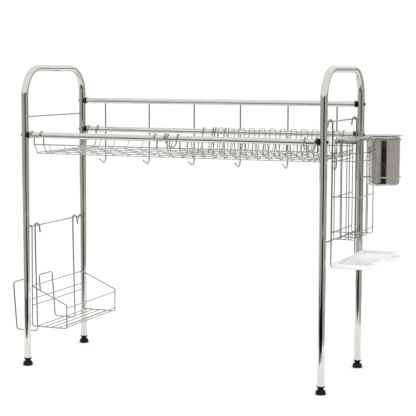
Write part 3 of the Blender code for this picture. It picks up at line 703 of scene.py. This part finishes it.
def hook_leg(x, side, drop, turn):
    """One leg of an end wire: from the floor up a wall, over the rail and down in front of it."""
    rail_z = RAILS["front_rail"].z if side < 0 else LOWER_Z
    clear = RAIL_RADIUS + HOOK_GAP + FRAME_WIRE
    return [at(x, side * FLOOR_Y, FLOOR_Z, 8 * MM), at(x, side * WALL_Y, RIM_Z, 12 * MM),
            at(x, side * WALL_Y, rail_z + clear, clear), at(x, side * (REAR + clear), rail_z + clear, clear),
            at(x, side * (REAR + clear), rail_z - RAIL_RADIUS - drop, turn)]


def end_wire(near, far, drop, turn):
    """The closed wire under one end of a basket."""
    front = hook_leg(near, -1, drop, turn)[::-1] + hook_leg(near, 1, drop, turn)
    rear = hook_leg(far, 1, drop, turn)[::-1] + hook_leg(far, -1, drop, turn)
    return bent_wire(front + rear, FRAME_WIRE, closed=True)


def rib_row(start, pitch, count, radius=MESH_WIRE):
    """U-shaped ribs from wall to wall."""
    corners = [at(start, -WALL_Y, RIM_Z, 0), at(start, -FLOOR_Y, FLOOR_Z, 10 * MM),
               at(start, FLOOR_Y, FLOOR_Z, 10 * MM), at(start, WALL_Y, RIM_Z, 0)]
    return bent_wire(corners, radius, copies=count, step=(pitch, 0, 0))


def long_wire(ends, y, z, radius=MESH_WIRE):
    return bent_wire([at(ends[0], y, z), at(ends[1], y, z)], radius)


def rail_basket(ends, rib_start, rib_pitch, rib_count, floor_ys, drop, turn):
    """Every wire of one rail basket and the beads that join them."""
    left, right = ends
    ribs = [rib_start + index * rib_pitch for index in range(rib_count)]
    pieces = [end_wire(left, left + HAIRPIN, drop, turn), end_wire(right, right - HAIRPIN, drop, turn)]
    pieces.append(rib_row(rib_start, rib_pitch, rib_count))
    rim = (WALL_Y - 1.6 * MM, RIM_Z - 1.6 * MM)
    under = FLOOR_Z - FRAME_WIRE - MESH_WIRE + 0.6 * MM
    for y in floor_ys:
        pieces.append(long_wire(ends, y, under))
        pieces.append(beads([at(x, y, (under + FLOOR_Z) / 2) for x in ribs], 1.7 * MM))
    for side in (-1, 1):
        pieces.append(long_wire(ends, side * rim[0], rim[1], FRAME_WIRE))
        pieces.append(beads([at(x, side * rim[0], rim[1]) for x in ribs], 2.1 * MM))
    return pieces


# %% Utility basket
UTILITY_ENDS = (-0.399, -0.006)
UTILITY_RIBS = (-0.3545, 0.0455, 7)
UTILITY_FLOOR = (-0.136, -0.068, 0.0, 0.068, 0.136)
pieces = rail_basket(UTILITY_ENDS, *UTILITY_RIBS, UTILITY_FLOOR, -3 * MM, 8 * MM)
welded("utility_wires", "utility_basket", ["utility_basket"], pieces, BASKET_STEEL)

# %% Dish basket
SLOT_PITCH = 30 * MM
SLOTS = 12
FIRST_TROUGH = 0.0275
DISH_ENDS = (0.001, 0.401)
DISH_FLOOR = (-0.136, -0.068, 0.0, 0.068, 0.136)
pieces = rail_basket(DISH_ENDS, FIRST_TROUGH, SLOT_PITCH, SLOTS + 1, DISH_FLOOR, 14 * MM, HAIRPIN)
welded("dish_wires", "dish_basket", ["dish_basket"], pieces, BASKET_STEEL)


# %% Plate combs
def comb_tree():
    """A wave of wire: flat troughs and crests of their own widths, rounded and swept."""
    tree, given = geometry_tree("plate comb", {
        "Slots": "Int", "Pitch": "Float", "Trough": "Float", "Crest": "Float", "Height": "Float",
        "Bend radius": "Float", "Wire radius": "Float", "Material": "Material"})

    def work(kind, first, second=0.0):
        return add(tree, "ShaderNodeMath", {"operation": kind}, i0=first, i1=second).outputs["Value"]

    points = work('ADD', work('MULTIPLY', given["Slots"], 4.0), 2.0)
    row = add(tree, "GeometryNodeMeshLine", Count=points)
    index = add(tree, "GeometryNodeInputIndex").outputs["Index"]
    half = work('MULTIPLY', given["Pitch"], 0.5)
    centre = work('MULTIPLY', work('FLOOR', work('DIVIDE', index, 2.0)), half)
    sign = work('SUBTRACT', work('MULTIPLY', work('MODULO', index, 2.0), 2.0), 1.0)
    crest = work('MODULO', work('FLOOR', work('DIVIDE', index, 2.0)), 2.0)
    trough_part = work('MULTIPLY', work('SUBTRACT', 1.0, crest), given["Trough"])
    width = work('ADD', trough_part, work('MULTIPLY', crest, given["Crest"]))
    x = work('ADD', centre, work('MULTIPLY', sign, width))
    z = work('MULTIPLY', crest, given["Height"])
    place = add(tree, "ShaderNodeCombineXYZ", X=x, Z=z)
    wave = add(tree, "GeometryNodeSetPosition", Geometry=row.outputs["Mesh"],
               Position=place.outputs["Vector"])
    path = add(tree, "GeometryNodeMeshToCurve", Mesh=wave.outputs["Geometry"])
    bent = add(tree, "GeometryNodeFilletCurve", {"mode": 'POLY'}, Curve=path.outputs["Curve"],
               Radius=given["Bend radius"], Limit_Radius=True, Count=6)
    section = add(tree, "GeometryNodeCurvePrimitiveCircle", Resolution=12, Radius=given["Wire radius"])
    swept = add(tree, "GeometryNodeCurveToMesh", Curve=bent.outputs["Curve"],
                Profile_Curve=section.outputs["Curve"], Fill_Caps=True)
    finish_tree(tree, swept.outputs["Mesh"], given["Material"])
    return tree


COMB = comb_tree()


def comb(y, low_z, high_z, trough, crest, bend):
    source = bpy.data.objects.new("comb", bpy.data.meshes.new("comb"))
    made = run_tree("comb", source, COMB, {
        "Slots": SLOTS, "Pitch": SLOT_PITCH, "Trough": trough, "Crest": crest, "Height": high_z - low_z,
        "Bend radius": bend, "Wire radius": MESH_WIRE, "Material": WIRE_STEEL})
    made.data.transform(Matrix.Translation(at(FIRST_TROUGH, y, low_z)))
    return made


TROUGHS = [FIRST_TROUGH + index * SLOT_PITCH for index in range(SLOTS + 1)]
front_comb = [comb(-0.118, 0.589, 0.634, 7 * MM, 3.5 * MM, 3 * MM),
              beads([at(x, -0.118, 0.587) for x in TROUGHS], 1.9 * MM)]
welded("front_comb_wire", "dish_basket", ["front_plate_comb"], front_comb, BASKET_STEEL)
rear_comb = [comb(0.100, 0.589, 0.649, 4.5 * MM, 8 * MM, 6 * MM),
             beads([at(x, 0.100, 0.587) for x in TROUGHS], 1.9 * MM)]
welded("rear_comb_wire", "dish_basket", ["rear_plate_comb"], rear_comb, BASKET_STEEL)

# %% [markdown]
# ## Caddy
#
# The caddy's two end wires are bent into a low box shape and go on up to hook over the side wire. Two
# heavier wires hang beside them, pass under the basket and end outside in loops that hold a tray upright.

# %% Caddy wires
CADDY_Y = 0.146
CADDY_BACK = -0.4150
CADDY_FRONT = -0.3080
CADDY_RIM_Z = 0.217
CADDY_LIP_Z = 0.1705
CADDY_FLOOR_Z = 0.106
HANGER = 2.2 * MM
LEG_X = -0.420
LOW_WIRE_Z = middle("left_lower_side_wire").z


def caddy_end(side):
    y = side * CADDY_Y
    over = LOW_WIRE_Z + 2 * MM + FRAME_WIRE + 0.3 * MM
    corners = [at(LEG_X - 5.5 * MM, y, over - 12 * MM), at(LEG_X - 5.5 * MM, y, over, 5 * MM),
               at(CADDY_BACK + 2 * MM, y, over, 5 * MM), at(CADDY_BACK, y, CADDY_FLOOR_Z, 5 * MM),
               at(CADDY_FRONT, y, CADDY_FLOOR_Z, 5 * MM), at(CADDY_FRONT, y, CADDY_LIP_Z, 5 * MM),
               at(CADDY_BACK, y, CADDY_RIM_Z)]
    return bent_wire(corners, FRAME_WIRE)


def caddy_basket():
    pieces = [caddy_end(-1), caddy_end(1)]
    back = [(CADDY_BACK, CADDY_RIM_Z), (CADDY_BACK, 0.181), (CADDY_BACK, 0.163)]
    front = [(CADDY_FRONT, CADDY_LIP_Z - 8 * MM), (CADDY_FRONT - 1 * MM, CADDY_FLOOR_Z + 9 * MM)]
    floor = [(x, CADDY_FLOOR_Z) for x in (-0.400, -0.378, -0.356, -0.334, -0.316)]
    for x, z in back + front + floor:
        pieces.append(bent_wire([at(x, -CADDY_Y, z), at(x, CADDY_Y, z)], 1.6 * MM))
        pieces.append(beads([at(x, -CADDY_Y, z), at(x, CADDY_Y, z)], 2.1 * MM))
    return pieces


def tray_loop(side):
    y = side * 0.109
    loop_y = y - side * 0.076
    over = LOW_WIRE_Z + 2 * MM + HANGER + 0.3 * MM
    corners = [at(LEG_X + 11 * MM, y, over - 22 * MM), at(LEG_X + 7 * MM, y, over + 2 * MM, 7 * MM),
               at(LEG_X - 5 * MM, y, over + 1 * MM, 5 * MM), at(LEG_X - 4.5 * MM, y, 0.320),
               at(LEG_X, y, 0.085, 9 * MM), at(-0.486, y, 0.085, 9 * MM),
               at(-0.4955, y, 0.217, 9 * MM), at(-0.4955, loop_y, 0.217, 9 * MM),
               at(-0.4915, loop_y, 0.169)]
    return bent_wire(corners, HANGER)


welded("caddy_wires", "caddy", ["caddy_basket"], caddy_basket())
welded("front_tray_loop", "caddy", ["caddy_front_hook_wire"], [tray_loop(-1)])
welded("rear_tray_loop", "caddy", ["caddy_rear_hook_wire"], [tray_loop(1)])

# %% [markdown]
# ## Board and knife holder
#
# Two wires hook over the upper side wire and carry a cage of U-shaped dividers. A folded sheet closes the
# top and has a slot over each bay. Two hoops hold the cutlery cup, and one more wire runs under the tray.

# %% Holder cage
HOLDER_X = (0.430, 0.486)
HOLDER_YS = [-0.1025, -0.0492, 0.0042, 0.0575]
HOLDER_TOP_Z = 0.625
HOLDER_FLOOR_Z = 0.385
RUNGS_Z = (0.600, 0.580, 0.490, 0.402)
LAP = 2.2 * MM


def holder_cage():
    inner, outer = HOLDER_X
    centre = (inner + outer) / 2
    pitch = HOLDER_YS[1] - HOLDER_YS[0]
    divider = [at(inner, HOLDER_YS[0], HOLDER_TOP_Z), at(inner, HOLDER_YS[0], HOLDER_FLOOR_Z, 6 * MM),
               at(outer, HOLDER_YS[0], HOLDER_FLOOR_Z, 6 * MM), at(outer, HOLDER_YS[0], HOLDER_TOP_Z)]
    pieces = [bent_wire(divider, MESH_WIRE, copies=4, step=(0, pitch, 0))]
    for y in (HOLDER_YS[0], HOLDER_YS[-1]):
        pieces.append(bent_wire([at(0.449, y, HOLDER_FLOOR_Z), at(0.449, y, HOLDER_TOP_Z)], MESH_WIRE))
        pieces.append(bent_wire([at(0.468, y, HOLDER_FLOOR_Z), at(0.468, y, HOLDER_TOP_Z)], MESH_WIRE))
    for z in RUNGS_Z:
        front = HOLDER_YS[0] - LAP
        pieces.append(bent_wire([at(inner - LAP, front, z + 2 * MM), at(outer + LAP, front, z + 2 * MM)],
                                MESH_WIRE))
        for x in (inner - LAP, outer + LAP):
            pieces.append(bent_wire([at(x, HOLDER_YS[0] - LAP, z), at(x, HOLDER_YS[-1] + LAP, z)], MESH_WIRE))
            pieces.append(beads([at(x, y, z) for y in HOLDER_YS], 1.7 * MM))
    for x in (inner + 14 * MM, centre, outer - 14 * MM):
        pieces.append(bent_wire([at(x, HOLDER_YS[0], HOLDER_FLOOR_Z + LAP),
                                 at(x, HOLDER_YS[-1], HOLDER_FLOOR_Z + LAP)], MESH_WIRE))
    return pieces


def holder_hook(side):
    y = side * 0.107
    leg_x = 0.420
    over = middle("right_upper_side_wire").z + 2 * MM + HANGER + 0.3 * MM
    corners = [at(leg_x - 8.5 * MM, y, over - 19 * MM), at(leg_x - 6 * MM, y, over, 6 * MM),
               at(leg_x + 5 * MM, y, over, 6 * MM), at(leg_x + 4.6 * MM, y, 0.373)]
    return bent_wire(corners, HANGER)


welded("holder_wires", "board_holder", ["holder_cage"], holder_cage())
welded("holder_front_hook", "board_holder", ["holder_front_hook_wire"], [holder_hook(-1)])
welded("holder_rear_hook", "board_holder", ["holder_rear_hook_wire"], [holder_hook(1)])


# %% Knife plate
def bevelled(obj, width, segments=2):
    """Rounds an object's edges a little, as bending and deburring do."""
    step = obj.modifiers.new("edges", 'BEVEL')
    step.width = width
    step.segments = segments
    step.limit_method = 'ANGLE'
    bpy.context.view_layer.update()
    graph = bpy.context.evaluated_depsgraph_get()
    obj.data = bpy.data.meshes.new_from_object(obj.evaluated_get(graph))
    obj.modifiers.clear()
    obj.data.shade_smooth()
    obj.data.set_sharp_from_angle(angle=math.radians(50))
    return obj


def knife_plate():
    """Sheet folded down at both ends, with long slots."""
    lowest, highest = low("knife_plate"), high("knife_plate")
    sheet = 1.2 * MM
    plate = block("plate", lowest, highest)
    inside = block("inside", (lowest.x - 5 * MM, lowest.y + sheet, lowest.z - 5 * MM),
                   (highest.x + 5 * MM, highest.y - sheet, highest.z - sheet))
    slots = []
    pitch = HOLDER_YS[1] - HOLDER_YS[0]
    for index in range(3):
        y = HOLDER_YS[0] + (index + 0.5) * pitch
        slots.append(block("slot", (lowest.x + 8 * MM, y - 3 * MM, lowest.z - 5 * MM),
                           (highest.x - 8 * MM, y + 3 * MM, highest.z + 5 * MM)))
    return bevelled(cut(plate, [inside] + slots), 0.25 * MM)


plate = knife_plate()
plate.name = "folded_knife_plate"
plate.data.materials.append(SHEET_STEEL)
placed(plate, "board_holder", ["knife_plate"])

# %% Cup hoops and tray carrier
CUP = middle("cutlery_cup")
CUP_RADIUS = 41 * MM
HOOP_WIRE = 1.6 * MM


def cup_hoop(z):
    """A round hoop with two arms to the cage."""
    radius = CUP_RADIUS + HOOP_WIRE + 0.6 * MM
    ring = []
    for step in range(48):
        angle = 2 * math.pi * step / 48
        ring.append((CUP.x + radius * math.cos(angle), CUP.y + radius * math.sin(angle), z, 0))
    pieces = [bent_wire(ring, HOOP_WIRE, closed=True, bend_points=1)]
    for side in (-1, 1):
        y = CUP.y + side * 30 * MM
        reach = CUP.x - math.sqrt(radius ** 2 - (30 * MM) ** 2)
        pieces.append(bent_wire([(MID_X + HOLDER_X[1] + LAP, y, z), (reach, y, z)], HOOP_WIRE))
    return pieces


for level in ("lower", "upper"):
    node = f"{level}_cup_hoop"
    welded(node + "_wire", "board_holder", [node], cup_hoop(middle(node).z))

TRAY_LOW, TRAY_HIGH = low("drip_tray"), high("drip_tray")
carrier_z = TRAY_LOW.z - FRAME_WIRE - 0.3 * MM
carrier = [at(0.4245, -0.107, 0.372), at(0.4245, -0.107, carrier_z, 8 * MM),
           at(0.520, -0.107, carrier_z, 8 * MM), at(0.520, 0.107, carrier_z, 8 * MM),
           at(0.4245, 0.107, carrier_z, 8 * MM), at(0.4245, 0.107, 0.372)]
welded("tray_carrier_wire", "board_holder", ["tray_carrier"], [bent_wire(carrier, FRAME_WIRE)])

# %% [markdown]
# ## Cutlery cup and drip tray
#
# The cup is drawn from sheet: its wall is thin, its lip rolls outwards and its foot has a small radius.
# The tray is a shallow moulding with a pouring lip.

# %% Cutlery cup
CUP_LOW = low("cutlery_cup").z
CUP_TOP = high("cutlery_cup").z
CUP_PROFILE_MM = [(0, 0.8), (34, 0.8), (37.5, 1.8), (39.6, 4.4), (40.2, 8), (40.2, -11), (40.8, -7.5),
                  (43.0, -3.6), (46.0, -1.2), (47.4, -0.4), (48.0, -0.4), (48.0, -1.2), (46.4, -2.0),
                  (43.6, -4.4), (41.6, -8), (41.0, -11), (41.0, 8), (40.4, 4), (38.0, 1.0), (34.2, 0),
                  (0, 0)]


def cutlery_cup():
    profile = []
    for index, (radius, height) in enumerate(CUP_PROFILE_MM):
        base = CUP_TOP if 5 <= index <= 15 else CUP_LOW
        profile.append((radius * MM, base + height * MM))
    made = turned("drawn_cutlery_cup", profile, 96)
    made.data.transform(Matrix.Translation((CUP.x, CUP.y, 0)))
    made.data.materials.append(CUP_STEEL)
    return made


placed(cutlery_cup(), "cutlery_cup", ["cutlery_cup"])


# %% Drip tray
def drip_tray():
    wall = 2.2 * MM
    spout_x = MID_X + 0.527
    body = block("moulded_drip_tray", TRAY_LOW, (spout_x, TRAY_HIGH.y, TRAY_HIGH.z))
    spout = block("spout", (spout_x - 10 * MM, 0.040, TRAY_LOW.z), (TRAY_HIGH.x, 0.105, TRAY_HIGH.z - 1 * MM))
    join = body.modifiers.new("join", 'BOOLEAN')
    join.object = spout
    join.operation = 'UNION'
    join.solver = 'EXACT'
    bpy.context.view_layer.update()
    graph = bpy.context.evaluated_depsgraph_get()
    body.data = bpy.data.meshes.new_from_object(body.evaluated_get(graph))
    body.modifiers.clear()
    bpy.data.objects.remove(spout, do_unlink=True)
    hollow = block("hollow", (TRAY_LOW.x + wall, TRAY_LOW.y + wall, TRAY_LOW.z + wall),
                   (spout_x - wall, TRAY_HIGH.y - wall, TRAY_HIGH.z + wall))
    channel = block("channel", (spout_x - 20 * MM, 0.040 + wall, TRAY_LOW.z + wall),
                    (TRAY_HIGH.x - wall, 0.105 - wall, TRAY_HIGH.z + wall))
    return bevelled(cut(body, [hollow, channel]), 0.6 * MM, 3)


tray = drip_tray()
tray.data.materials.append(WHITE_PLASTIC)
placed(tray, "drip_tray", ["drip_tray"])
